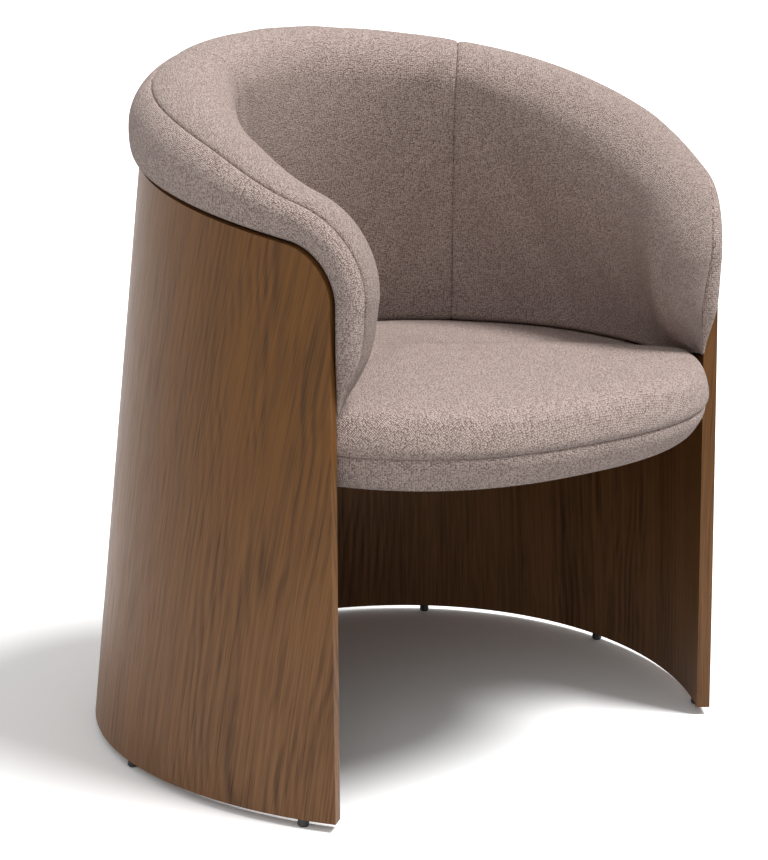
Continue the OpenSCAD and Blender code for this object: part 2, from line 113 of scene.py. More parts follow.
def curve(xs, ys, x):
    """Smooth curve through (xs, ys) that never overshoots: cubic pieces whose slope at a point is the
    harmonic mean of the slopes beside it."""
    xs, ys, x = np.asarray(xs, float), np.asarray(ys, float), np.asarray(x, float)
    step = np.diff(xs)
    slope = np.diff(ys) / step
    inner = np.where(slope[:-1] * slope[1:] > 0, 2 * slope[:-1] * slope[1:] / (slope[:-1] + slope[1:] + 1e-12), 0)
    m = np.concatenate([slope[:1], inner, slope[-1:]])
    i = np.clip(np.searchsorted(xs, x) - 1, 0, len(xs) - 2)
    h, u = step[i], (x - xs[i]) / step[i]
    return (ys[i] * (2 * u**3 - 3 * u**2 + 1) + m[i] * h * (u**3 - 2 * u**2 + u)
            + ys[i + 1] * (3 * u**2 - 2 * u**3) + m[i + 1] * h * (u**3 - u**2))


def plan(a):
    """Plan radius of the shell at an angle from the back: a circle, slightly oval and squared."""
    return BASE_R * (1 + OVAL * np.cos(2 * a) + SQUARE * np.cos(3 * a))


def plan_d(a):
    """Change of the plan radius with the angle."""
    return -BASE_R * (2 * OVAL * np.sin(2 * a) + 3 * SQUARE * np.sin(3 * a))


def shrink(z):
    """Scale of the plan at a height: the shell tapers in a straight line."""
    return 1 - TAPER * z / BASE_R


FOOT_Y = plan(0) * shrink(FOOT_GAP) - RAKE * FOOT_GAP
NOSE_Y = FRONT_D - EDGE_LEAN * SEAM_Z + SEAT_OVERHANG
MID_Y = (FOOT_Y - NOSE_Y) / 2


def at(a, z, n):
    """Point at plan angle a and height z, n in from the shell's outer face along the plan's normal."""
    a, z, n = np.broadcast_arrays(a, z, n)
    r, d, s, c = plan(a), plan_d(a), np.sin(a), np.cos(a)
    ox, oy, l = r * s - d * c, d * s + r * c, np.hypot(r, d)
    return np.stack([r * shrink(z) * s - n * ox / l, r * shrink(z) * c - RAKE * z - n * oy / l - MID_Y, z], -1)


def edge_at(z):
    """Angle of the shell's front edge at a height: the edge lies in an upright plane that leans a little."""
    return np.arccos((-FRONT_D + (EDGE_LEAN + RAKE) * z) / (plan(EDGE_A) * shrink(z)))


def rim_at(a):
    """Height at which the sloping plane of the rim cuts the shell at an angle."""
    k = plan(a) * np.cos(a)
    return (RIM_H + RIM_SLOPE * k) / (1 + RIM_SLOPE * (k * TAPER / BASE_R + RAKE))


DEGREE = math.pi / 180
CORNER_A = edge_at(rim_at(EDGE_A - 10 * DEGREE))
RAD_L = np.hypot(plan(CORNER_A), plan_d(CORNER_A)) * shrink(RIM_H - CORNER_R)
END_SLOPE = (rim_at(CORNER_A - DEGREE) - rim_at(CORNER_A)) / (RAD_L * DEGREE)
END_LEN = math.sqrt(1 + END_SLOPE**2)
CORNER_Z = rim_at(CORNER_A) + END_SLOPE * CORNER_R - CORNER_R * END_LEN
TOP_END_A = CORNER_A - CORNER_R * (1 - END_SLOPE / END_LEN) / RAD_L
TURN_A = math.pi / 2 - math.atan(END_SLOPE)


def rim(q):
    """Angle and height of the rim at a step: 0 to 4 along the top, 4 to 5 round the corner, which is an
    arc of CORNER_R in the shell's own surface, and 5 to 7 down the front edge."""
    q = np.asarray(q, float)
    top_a = TOP_END_A * np.interp(q, range(5), RIM_SHARES)
    u = np.clip(q - 4, 0, 1)
    p = math.pi - TURN_A * (1 - u)
    corner_z = CORNER_Z + CORNER_R * np.sin(p)
    corner_a = mix(CORNER_A, edge_at(corner_z), smooth(u)) - CORNER_R * (1 + np.cos(p)) / RAD_L
    front_z = mix(CORNER_Z, TIP_Z, np.clip(q - 5, 0, 2) / 2)
    a = np.where(q < 4, top_a, np.where(q < 5, corner_a, edge_at(front_z)))
    z = np.where(q < 4, rim_at(top_a), np.where(q < 5, corner_z, front_z))
    return a, z


def rim_out(q):
    """Unit step out of the rim in the shell's own surface, as a change of angle and of height."""
    h = 0.02
    a0, z0 = rim(np.maximum(q - h, 0))
    a1, z1 = rim(np.minimum(q + h, END_Q))
    du, dz = (a1 - a0) * RAD_L, z1 - z0
    l = np.hypot(du, dz)
    flat = q <= 0
    return np.where(flat, 0, -dz / l / RAD_L), np.where(flat, 1, du / l)


def roll(q):
    """The roll's section at a rim step, an ellipse through the rim's inner edge: its half height and half
    thickness, and how far its middle lies over the rim and in from the shell."""
    out, inn = ROLL_OUT * spline(ROLL_OUT_SHARES, q), ROLL_IN * spline(ROLL_IN_SHARES, q)
    h, an, nc = ROLL_H * spline(ROLL_H_SHARES, q), (inn + out) / 2, (inn - out) / 2
    k = np.sqrt(1 - (nc / an) ** 2)
    ah = h / (1 + k)
    return ah, an, ah * k, nc


def near_rim(q, h, n):
    """Point h out of the rim and n in from the shell's inner face."""
    (a, z), (da, dz) = rim(q), rim_out(q)
    return at(a + h * da, z + h * dz, WALL + n)


def pad_foot(q):
    """Angle and height of the pad's lower edge, where it meets the seat."""
    return rim(q)[0] - EDGE_A * spline(LEAN_SHARES, q), mix(PAD_Z, TIP_Z, smooth(np.maximum(0, q - 5) / 2))


def mirrored(q, points):
    """Points of the half at positive steps, turned over to the left where q is negative."""
    out = points.copy()
    out[..., 0] *= np.where(q < 0, -1, 1)[..., 0, None] if q.ndim > 1 else np.where(q < 0, -1, 1)
    return out


def swell(t, q):
    """Growth of the panel up to the roll: a smooth step at the back, a quarter of a parabola at the arms."""
    return mix(smooth(t), t * (2 - t), smooth((q - 1.5) / 2.5))


def pad_outside(q, t, p, off):
    """The pad's outside at rim steps q: the panel from the seat up (t from 0 to 1) thickens into the roll,
    then the roll's ellipse runs through the angles p, from 90 at its inside over the top at 0 to the rim's
    inner edge at -180 at most, with SEAM_ROLL moved to SEAM_ANGLES, and is drawn down to the rim on its
    underside. Negative values of t, down to
    -1, turn the lower edge under by a quarter circle. off sinks it along the sections."""
    s = np.abs(q)[:, None]
    ah, an, hc, nc = roll(s)
    end = -np.degrees(np.arccos(-(hc - SOFT_GAP) / ah))
    ah, an, full = np.maximum(0.3 * ah, ah - off), np.maximum(0.3 * an, an - off), nc + an
    (fa, fz), (ra, rz), (oa, oz) = pad_foot(s), rim(s), rim_out(s)
    ma, mz, nb = ra + hc * oa, rz + hc * oz, PAD_T * spline(PAD_T_SHARES, s)
    low, t = np.minimum(t, 0)[None, :] * math.pi / 2, np.maximum(t, 0)[None, :]
    turn = np.minimum(EDGE_TURN, 0.45 * nb)
    rise = turn * (1 + np.sin(low)) * (1 - t) + off * (low < 0) * np.sin(-low)
    depth = np.maximum(0.4 * nb, mix(nb, full, swell(t, s)) - off) - (turn - off * (low < 0)) * (1 - np.cos(low))
    panel = at(mix(fa, ma, t), mix(fz, mz, t) + rise, WALL + depth)
    p, seam = p[None, :], spline(SEAM_ANGLES, s)
    angle = np.radians(np.where(p >= SEAM_ROLL, 90 - (90 - p) * (90 - seam) / (90 - SEAM_ROLL),
                                seam + (end - seam) * (SEAM_ROLL - p) / 100))
    height = hc + ah * np.cos(angle)
    under = smooth(1.6 * (-math.pi / 2 - angle) / (-math.pi / 2 - np.radians(end)))
    height = 0.5 + (height - 0.5) * (1 - 0.6 * np.where(angle < -math.pi / 2, under, 0))
    over = near_rim(s, height, nc + an * np.sin(angle))
    return mirrored(q[:, None], np.concatenate([panel, over], 1))


SEAT_Y = -0.023 * BASE_R
SEAT_W = plan(math.pi / 2) * shrink(SEAM_Z) - WALL - CARRIER_T - SEAT_GAP
SEAT_BACK = plan(0) * shrink(SEAM_Z) - RAKE * SEAM_Z - WALL - CARRIER_T - SEAT_GAP - SEAT_Y
SEAT_FRONT = NOSE_Y + SEAT_Y
FRONT_POWER, BACK_POWER = 2.488, 2.1
BORDER_R, DECK_IN = 0.77 * BORDER_H, 3
BORDER_IN, BORDER_UP = (1, 0.715, 0.46, 0.29, 0.11, 0.015), (0, 0.11, 0.27, 0.46, 0.73, 1)
PRESSED_H = PAD_LIFT - 2 * SOFT_GAP
EDGE_D = 6.2
CROWN_D, CROWN_UP = (0.5, -1.4, 0.6, 6.2, 17.5, 75, 235, 290), (0, 8, 21, 36, 44, 48, 50, 50)
PRESSED_D, PRESSED_UP = (0.5, -1.4, 0.6, 6.2, 31, 90, 250, 290), (0, 8, 20, 26.4, PRESSED_H, 40, 50, 50)


def seat_radius(angle, d):
    """Distance of the seat's outline, drawn in by d, from the seat's middle: two half superellipses that
    meet at the widest place. The angle counts from the back."""
    s, c = np.abs(np.sin(angle)), np.cos(angle)
    power, depth = np.where(c > 0, BACK_POWER, FRONT_POWER), np.where(c > 0, SEAT_BACK, SEAT_FRONT)
    return ((s / (SEAT_W - d)) ** power + (np.abs(c) / (depth - d)) ** power) ** (-1 / power)


def front_weight(angle):
    """0 where the back pad lies on the seat and 1 in front of it, by the outline's own angle."""
    y = np.maximum(0, -seat_radius(angle, 0) * np.cos(angle)) / SEAT_FRONT
    return smooth((y ** (FRONT_POWER / 2) - 0.22) / 0.34)


def round_grid(rings):
    """A square grid bent into a disc: each ring of the grid is a circle, with its points evenly spaced.
    Returns each point's ring number and its angle."""
    a, b = np.meshgrid(np.arange(-rings, rings + 1.0), np.arange(-rings, rings + 1.0), indexing="ij")
    ring = np.maximum(np.abs(a), np.abs(b))
    wide = np.abs(a) >= np.abs(b)
    safe_a, safe_b = np.where(a == 0, 1, a), np.where(b == 0, 1, b)
    angle = np.where(wide, math.pi / 4 * b / safe_a + np.where(a < 0, math.pi, 0),
                     math.pi / 2 - math.pi / 4 * a / safe_b + np.where(b < 0, math.pi, 0))
    return ring, angle


def grid_quads(rows, columns):
    """Corners of every cell of a grid of points, row by row."""
    i = np.arange(rows * columns).reshape(rows, columns)
    return np.stack([i[:-1, :-1], i[1:, :-1], i[1:, 1:], i[:-1, 1:]], -1)


def normals(points):
    """Unit normal at each point of a grid, from the differences to its neighbours."""
    n = np.cross(np.gradient(points, axis=0), np.gradient(points, axis=1))
    return n / np.maximum(np.linalg.norm(n, axis=-1, keepdims=True), 1e-9)


def run_length(points, axis):
    """Distance along the rows or columns of a grid, from its first point."""
    step = np.linalg.norm(np.diff(points, axis=axis), axis=-1)
    pad = [(0, 0), (0, 0)]
    pad[axis] = (1, 0)
    return np.cumsum(np.pad(step, pad), axis=axis)


def swelling(points, held, turned):
    """Shift of a cover's points when its filling presses out: a cloth simulation with pressure and without
    gravity, held along its seams and edges. It is scaled down until all but a twentieth of its points move
    less than MOST_SWELL, and none moves more. turned is true where the grid's cells face inwards."""
    scene = bpy.context.scene
    cells = grid_quads(*points.shape[:2]).reshape(-1, 4)
    mesh = bpy.data.meshes.new("cover")
    mesh.from_pydata((points.reshape(-1, 3) * METRE).tolist(), [], (cells[:, ::-1] if turned else cells).tolist())
    obj = bpy.data.objects.new("cover", mesh)
    scene.collection.objects.link(obj)
    obj.vertex_groups.new(name="held").add(np.flatnonzero(held.ravel()).tolist(), 1.0, "REPLACE")
    cloth = obj.modifiers.new("cloth", "CLOTH")
    settings = cloth.settings
    settings.quality, settings.mass, settings.vertex_group_mass = 6, 0.3, "held"
    settings.use_pressure, settings.uniform_pressure_force = True, PRESSURE
    settings.effector_weights.gravity = 0
    settings.tension_stiffness = settings.compression_stiffness = 12
    settings.bending_stiffness = 1.5
    cloth.point_cache.frame_start, cloth.point_cache.frame_end = 1, FRAMES
    for frame_number in range(1, FRAMES + 1):
        scene.frame_set(frame_number)
    place = np.zeros(points.size, np.float32)
    obj.evaluated_get(bpy.context.evaluated_depsgraph_get()).data.vertices.foreach_get("co", place)
    shift = place.reshape(points.shape) / METRE - points
    bpy.data.objects.remove(obj)
    bpy.data.meshes.remove(mesh)
    scene.frame_set(1)
    length = np.linalg.norm(shift, axis=-1, keepdims=True)
    scale = min(1, MOST_SWELL / float(np.percentile(length, 95)))
    return shift * np.minimum(scale, MOST_SWELL / np.maximum(length, 1e-9))


def between_rows(values, picked, count, axis):
    """Values at every index along an axis, from those at the picked ones, by straight blends and then
    three means over neighbours, which round the blends off."""
    values = np.moveaxis(values, axis, 0)
    x = np.arange(count)
    i = np.clip(np.searchsorted(picked, x, side="right") - 1, 0, len(picked) - 2)
    f = ((x - picked[i]) / (picked[i + 1] - picked[i])).reshape(-1, *[1] * (values.ndim - 1))
    full = mix(values[i], values[i + 1], f)
    for _ in range(3):
        full[1:-1] = (full[:-2] + full[1:-1] + full[2:]) / 3
    return np.moveaxis(full, 0, axis)


def filled_out(face, held, rows, columns, turned):
    """Shift of a cover to the shape that its filling gives it. A first simulation finds where it swells.
    The sewn shape is then smaller there by SEWN_SHARE of the swelling, and a second one fills that out.
    held marks the seams and edges, and rows and columns are those of the simulated net."""
    net = np.ix_(rows, columns)
    sewn = -SEWN_SHARE * swelling(face[net], held[net], turned)
    shift = sewn + swelling(face[net] + sewn, held[net], turned)
    return between_rows(between_rows(shift, rows, face.shape[0], 0), columns, face.shape[1], 1)


def net_lines(count, step, kept):
    """Indices from 0 to count - 1, a step apart, with the kept ones among them and none beside those."""
    lines = np.arange(0, count, step)
    lines = lines[np.abs(lines[:, None] - np.array(kept)[None]).min(1) >= step * 0.6]
    return np.unique(np.concatenate([lines, kept]))


def piece(name, points, faces, uv, finish, replaced=()):
    """A mesh object in metres from points in millimetres, riding on the chair."""
    mesh = bpy.data.meshes.new(name)
    mesh.from_pydata((points * METRE).tolist(), [], faces.tolist())
    corner = np.zeros(len(mesh.loops), int)
    mesh.loops.foreach_get("vertex_index", corner)
    layer = mesh.uv_layers.new(name="cloth")
    layer.data.foreach_set("uv", (uv * METRE)[corner].astype(np.float32).ravel())
    mesh.polygons.foreach_set("use_smooth", np.ones(len(mesh.polygons), bool))
    mesh.materials.append(finish)
    obj = bpy.data.objects.new(name, mesh)
    bpy.context.scene.collection.objects.link(obj)
    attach(obj, "root")
    if replaced:
        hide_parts(*replaced)
    return obj


def closed_sheet(name, top, under, quads, uv, finish, replaced=(), turned=0.0):
    """A closed body between two faces with the same cells: the cells of the top, those of the underside
    turned round, and a wall along each edge that only one cell has. The underside's pattern lies turned
    to the side, so that the pattern runs on over the walls."""
    top, under, quads = top.reshape(-1, 3), under.reshape(-1, 3), quads.reshape(-1, 4)
    count = len(top)
    edges = np.concatenate([quads[:, [i, (i + 1) % 4]] for i in range(4)])
    key, back = edges[:, 0] * count + edges[:, 1], edges[:, 1] * count + edges[:, 0]
    rim_edges = edges[~np.isin(key, back)]
    walls = np.stack([rim_edges[:, 1], rim_edges[:, 0], rim_edges[:, 0] + count, rim_edges[:, 1] + count], 1)
    faces = np.concatenate([quads, quads[:, ::-1] + count, walls])
    a, b, c = (top[quads[:, i]] for i in range(3))
    outward = np.sum(np.cross(b - a, c - a) * (top - under)[quads[:, 0]])
    if outward < 0:
        faces = faces[:, ::-1]
    points = np.concatenate([top, under])
    used = np.unique(faces)
    place = np.zeros(len(points), int)
    place[used] = np.arange(len(used))
    uv = np.concatenate([uv.reshape(-1, 2), uv.reshape(-1, 2) + [turned, 0]])
    return piece(name, points[used], place[faces], uv[used], finish, replaced)


class Value:
    """An output socket of a material, on which Python's operators add Math nodes."""

    def __init__(self, finish, socket):
        self.finish, self.socket = finish, socket

    def math(self, operation, *others):
        return self.finish.node("Math", {"operation": operation}, (self, *others))

    def __add__(self, other):
        return self.math("ADD", other)

    def __sub__(self, other):
        return self.math("SUBTRACT", other)

    def __rsub__(self, other):
        return self.finish.node("Math", {"operation": "SUBTRACT"}, (other, self))

    def __mul__(self, other):
        return self.math("MULTIPLY", other)

    def __truediv__(self, other):
        return self.math("DIVIDE", other)

    __radd__, __rmul__ = __add__, __mul__

    def clipped(self):
        return self.finish.node("Clamp", {}, (self,))

    def between(self, low, high):
        """0 below low, 1 above high, and a smooth step from one to the other."""
        return self.finish.node("MapRange", {"interpolation_type": "SMOOTHSTEP"}, (self, low, high))


class Finish:
    """A material of the chair, with a Principled shader whose plain numbers are given at once."""

    def __init__(self, name, **constants):
        self.material = bpy.data.materials.new(name)
        self.material.use_nodes = True
        self.tree = self.material.node_tree
        self.shader = self.tree.nodes["Principled BSDF"]
        for key, value in constants.items():
            self.shader.inputs[key.replace("_", " ")].default_value = value

    def node(self, kind, settings, inputs, out=0):
        made = self.tree.nodes.new("ShaderNode" + kind)
        for key, value in settings.items():
            setattr(made, key, value)
        for key, value in inputs.items() if isinstance(inputs, dict) else enumerate(inputs):
            if isinstance(value, Value):
                self.tree.links.new(value.socket, made.inputs[key])
            else:
                made.inputs[key].default_value = value
        return Value(self, made.outputs[out])

    def feed(self, socket, value):
        self.tree.links.new(value.socket, self.shader.inputs[socket])

    def uv(self):
        return self.node("UVMap", {"uv_map": "cloth"}, ())

    def place(self):
        return self.node("TexCoord", {}, (), "Object")

    def scaled(self, vector, *by):
        return self.node("VectorMath", {"operation": "MULTIPLY"}, (vector, by))

    def part(self, vector, axis):
        return self.node("SeparateXYZ", {}, (vector,), axis)

    def noise(self, vector, detail=2.0, rough=0.5):
        return self.node("TexNoise", {}, {"Vector": vector, "Scale": 1.0, "Detail": detail, "Roughness": rough})

    def blend(self, factor, a, b):
        return self.node("Mix", {"data_type": "RGBA"}, {0: factor, 6: a, 7: b}, 2)

    def bump(self, height, distance, strength=1.0):
        self.feed("Normal", self.node("Bump", {}, {"Height": height, "Distance": distance, "Strength": strength}))


def colour(r, g, b, level=1.0):
    """A colour written as a screen shows it, as the linear colour that a shader takes."""
    c = np.array([r, g, b]) / 255
    lin = np.where(c <= 0.04045, c / 12.92, ((c + 0.055) / 1.055) ** 2.4) * level
    return (*[float(x) for x in lin], 1.0)


def oak_veneer():
    """Stained oak veneer with upright grain, laid in leaves. A leaf is a flat slice beside the middle of a
    log that narrows upwards, so a growth ring is a line of equal root(across^2 + depth^2) - slope x height:
    straight beside the leaf's middle, and a nested V that points down in it. Each ring has a soft dark
    band of early wood that comes and goes. Pores are fine upright streaks."""
    m = Finish("oak_veneer", Roughness=0.48, Specular_IOR_Level=0.18)
    uv = m.uv()
    u, v = m.part(uv, 0), m.part(uv, 1)
    leaf = ((u + LEAF_START) / LEAF_W).math("FLOOR")
    seed = leaf * 5.3
    drift = m.noise(m.node("CombineXYZ", {}, (leaf * 3.1, v * 5.0, seed)), 1.0)
    across = u + LEAF_MIDDLE - leaf * LEAF_W + (drift - 0.5) * 0.05 + v * 0.02
    wave = m.noise(m.node("CombineXYZ", {}, (u * 19.0, v * 5.0, seed)), 2.0)
    grain = m.node("CombineXYZ", {}, (u + v * v * 0.13 + v * 0.05, v, seed))
    ragged = m.noise(m.scaled(grain, 85, 11, 1), 3.0, 0.65)
    radius = ((across * across + 0.0005).math("SQRT") - v * RING_TAPER + (wave - 0.5) * 0.020
              + (ragged - 0.5) * 0.008)
    ring = (radius / RING_W).math("FRACT")
    early = ring.between(0.0, 0.3) * (1 - ring.between(0.35, 0.85))
    flame = m.noise(m.scaled(grain, 24, 7.0, 1), 2.0).between(0.38, 0.66)
    centre = 1 - (across * across).between(0.0016, 0.0120)
    streak = m.noise(m.scaled(grain, 230, 3.0, 1), 3.0, 0.62)
    fine = m.noise(m.scaled(grain, 520, 9.0, 1), 2.0, 0.6)
    pores = m.noise(m.scaled(grain, 640, 20, 1), 2.0, 0.6).between(0.48, 0.70)
    tone = m.noise(m.scaled(grain, 17, 0.9, 1), 2.0)
    base = m.blend(v.between(0.05, 0.45), colour(*WOOD_LOW), colour(*WOOD_HIGH))
    shade = (early * (flame * (centre * 0.30 + 0.10) + 0.05) + pores * 0.16 + (streak - 0.5) * 1.1
             + (fine - 0.5) * 0.9 + (tone - 0.5) * 0.55 + 0.16)
    m.feed("Base Color", m.blend(shade.clipped(), base, colour(*WOOD_DARK)))
    m.feed("Roughness", 0.42 + pores * 0.12)
    m.bump(0 - pores * 0.6 - early * 0.2, 0.0001)
    return m.material


def upholstery():
    """Rosy taupe cloth woven in rows of short loops: each loop is a low bump about 2.3 mm long and 1.6 mm
    wide, with its own tone, and the rows keep a fine furrow between them. Its colour also darkens from each
    loop's middle to its edge, as painted shade in the furrows."""
    m = Finish("taupe_cloth", Roughness=0.92, Sheen_Weight=0.1, Sheen_Roughness=0.5, Specular_IOR_Level=0.12)
    uv = m.uv()
    loop = m.scaled(uv, *LOOPS)
    near = {"voronoi_dimensions": "2D", "feature": "F1"}
    reach = m.node("TexVoronoi", near, {"Vector": loop, "Scale": 1.0, "Randomness": 0.62})
    chance = m.part(m.node("TexVoronoi", near, {"Vector": loop, "Scale": 1.0, "Randomness": 0.62}, "Color"), 0)
    fibre = m.noise(m.scaled(uv, 900, 900, 1), 2.0, 0.7)
    patch = m.noise(m.scaled(uv, 60, 60, 1), 2.0, 0.5)
    bead_and_furrow_shade = 1 - reach * 1.35
    # The loop's height also lightens each loop's middle and darkens its edge in the colour: painted shade in the
    # furrows between loops. chance is each loop's own tone.
    tone = chance * 0.36 + bead_and_furrow_shade * 0.74 + (fibre - 0.5) * 0.5 + (patch - 0.5) * 0.10 - 0.13
    m.feed("Base Color", m.blend(tone.clipped(), colour(*CLOTH_DARK), colour(*CLOTH_LIGHT)))
    m.bump(bead_and_furrow_shade + fibre * 0.5, 0.0011, 1.0)
    return m.material


def foam():
    m = Finish("foam", Roughness=0.95)
    grain = m.noise(m.scaled(m.place(), 900, 900, 900), 2.0)
    m.feed("Base Color", m.blend(grain, colour(222, 210, 176), colour(240, 232, 206)))
    m.bump(grain, 0.0004)
    return m.material


def black_cloth():
    m = Finish("dust_cloth", Roughness=0.95)
    fibre = m.noise(m.scaled(m.place(), 700, 700, 60), 3.0, 0.7)
    m.feed("Base Color", m.blend(fibre, colour(22, 22, 23), colour(52, 51, 50)))
    m.bump(fibre, 0.0003)
    return m.material


def moulded_nylon():
    m = Finish("black_nylon", Roughness=0.45)
    grain = m.noise(m.scaled(m.place(), 1500, 1500, 1500), 2.0)
    m.feed("Base Color", m.blend(grain, colour(20, 20, 21), colour(34, 34, 35)))
    m.feed("Roughness", 0.38 + grain * 0.2)
    m.bump(grain, 0.00008)
    return m.material


def zinc_steel():
    m = Finish("zinc_steel", Metallic=1.0)
    grain = m.noise(m.scaled(m.place(), 500, 500, 900), 3.0)
    m.feed("Base Color", m.blend(grain, colour(168, 172, 176), colour(196, 197, 198)))
    m.feed("Roughness", 0.28 + grain * 0.2)
    return m.material


def plain_wood(name, light, dark, layers):
    """Raw wood with streaked grain. layers is the thickness of its plies, which alternate in tone with
    the height, or zero for solid wood."""
    m = Finish(name, Roughness=0.62)
    place = m.place()
    grain = m.noise(m.scaled(place, 30, 320, 320), 3.0, 0.6)
    tone = grain * 0.7
    if layers:
        ply = (m.part(place, 2) / layers).math("FRACT").between(0.42, 0.58)
        tone = tone + ply * 0.35
    m.feed("Base Color", m.blend(tone.clipped(), light, dark))
    m.bump(grain, 0.0001)
    return m.material


def seen(tree):
    """1 for what the camera sees, by itself or in a gloss or through glass, and 0 for other light."""
    path = tree.nodes.new("ShaderNodeLightPath")
    value = path.outputs["Is Camera Ray"]
    for name in ("Is Glossy Ray", "Is Transmission Ray"):
        larger = tree.nodes.new("ShaderNodeMath")
        larger.operation = "MAXIMUM"
        tree.links.new(value, larger.inputs[0])
        tree.links.new(path.outputs[name], larger.inputs[1])
        value = larger.outputs[0]
    return value


def floor_paint():
    """Studio floor: pale grey for the light that it throws on the chair, and white with its shadow for what
    is seen of it, by a second matt layer that is seen only and adds to the first."""
    m = Finish("studio_floor", Roughness=0.9, Specular_IOR_Level=0.0)
    m.shader.inputs["Base Color"].default_value = (FLOOR_WHITE, FLOOR_WHITE, FLOOR_WHITE, 1)
    tree = m.tree
    layer, total, level = (tree.nodes.new("ShaderNode" + k) for k in ("BsdfDiffuse", "AddShader", "Math"))
    level.operation, level.inputs[1].default_value = "MULTIPLY", FLOOR_PALE
    tree.links.new(seen(tree), level.inputs[0])
    tree.links.new(level.outputs[0], layer.inputs["Color"])
    tree.links.new(m.shader.outputs[0], total.inputs[0])
    tree.links.new(layer.outputs[0], total.inputs[1])
    tree.links.new(total.outputs[0], tree.nodes["Material Output"].inputs["Surface"])
    return m.material


def shell_grid():
    """The shell's face as a grid of angles and heights, filled in straight between its four sides: the
    foot, the rim with half of each front corner, and the two front edges with the other half."""
    columns, rows = 300, 110
    foot_a = float(edge_at(FOOT_GAP))
    fine = np.linspace(0, 4.5, 900)
    a, z = rim(fine)
    along = np.concatenate([[0], np.cumsum(np.hypot(np.diff(a) * RAD_L, np.diff(z)))])
    u = np.linspace(-1, 1, columns)
    top_q = np.interp(np.abs(u) * along[-1], along, fine)
    top_a, top_z = rim(top_q)
    top = np.stack([top_a * np.sign(u), top_z], -1)
    foot = np.stack([foot_a * u, np.full(columns, float(FOOT_GAP))], -1)
    fine = np.linspace(5, 4.5, 60)
    ca, cz = rim(fine)
    line_z = np.linspace(FOOT_GAP, CORNER_Z, 240)
    side_a, side_z = np.concatenate([edge_at(line_z), ca[1:]]), np.concatenate([line_z, cz[1:]])
    along = np.concatenate([[0], np.cumsum(np.hypot(np.diff(side_a) * RAD_L, np.diff(side_z)))])
    v = np.linspace(0, 1, rows)
    side = np.stack([np.interp(v * along[-1], along, side_a), np.interp(v * along[-1], along, side_z)], -1)
    left = side * [-1, 1]
    s, v = ((u + 1) / 2)[:, None, None], v[None, :, None]
    across = mix(left[None], side[None], s)
    upright = mix(foot[:, None], top[:, None], v)
    corners = mix(mix(left[:1, None], side[:1, None], s), mix(left[-1:, None], side[-1:, None], s), v)
    return across + upright - corners


def make_shell(finish):
    """The bent band: outer and inner face 15 mm apart, its edges eased by a small round-over."""
    g = shell_grid()
    outer, inner = at(g[..., 0], g[..., 1], 0.0), at(g[..., 0], g[..., 1], float(WALL))
    uv = np.stack([g[..., 0] * BASE_R, g[..., 1]], -1)
    obj = closed_sheet("shell_veneer", outer, inner, grid_quads(*g.shape[:2]), uv, finish,
                       ("wrap_shell",), turned=WALL)
    ease = obj.modifiers.new("eased_edges", "BEVEL")
    ease.width, ease.segments, ease.limit_method = 1.3 * METRE, 3, "ANGLE"
    ease.angle_limit, ease.harden_normals = math.radians(50), True
    return obj


def pad_steps():
    """Rim steps of the pad's columns, close together beside the two upright seams."""
    near = np.array([0.004, 0.009, 0.016, 0.027, 0.042])
    half = np.concatenate([np.linspace(0, 4, 116), np.linspace(4, 5, 30), np.linspace(5, END_Q, 34)])
    half = half[np.abs(half - SEAM_Q) > 0.05]
    half = np.unique(np.concatenate([half, SEAM_Q - near, SEAM_Q + near, [SEAM_Q]]))
    return np.concatenate([-half[:0:-1], half])


def pad_section():
    """Parameters of the pad's rows: t up the panel, then the roll's angles, close beside the long seam."""
    t = np.concatenate([np.linspace(-1, 0, 7)[:-1], np.linspace(0, 1, 48)[:-1]])
    near = np.array([0.8, 1.7, 3.0, 5.0, 8.0])
    over = np.concatenate([np.linspace(90, SEAM_ROLL + 11, 26), SEAM_ROLL + near[::-1], [SEAM_ROLL],
                           SEAM_ROLL - near, np.linspace(SEAM_ROLL - 12, SEAM_ROLL - 100, 22)])
    return t, over


def drawn_over(grid, q, height):
    """A grid of the pad with its columns beside the upright seams drawn towards the back's middle in the
    grid's own surface, SEAM_DRAWN rim steps below and above, by height from 0 to 1: the seams lean so."""
    step = mix(SEAM_DRAWN[0], SEAM_DRAWN[1], height)
    amount = smooth(1.05 - np.abs(np.abs(q) - SEAM_Q) / DRAWN_REACH) * np.sign(q)
    place = q[:, None] - amount[:, None] * step[None, :]
    i = np.clip(np.searchsorted(q, place, side="right") - 1, 0, len(q) - 2)
    f = ((place - q[i]) / (q[i + 1] - q[i]))[..., None]
    j = np.arange(grid.shape[1])[None, :]
    return mix(grid[i, j], grid[i + 1, j], f)


def seam_dip(distance, depth, width):
    """Depth of the valley at a distance from a seam: a sharp cut between the two cloths, with rounded
    shoulders: depth x exp(-distance / width), and a wider, shallow bell."""
    return depth * (0.8 * np.exp(-distance / width) + 0.2 * np.exp(-((distance / (6 * width)) ** 2)))


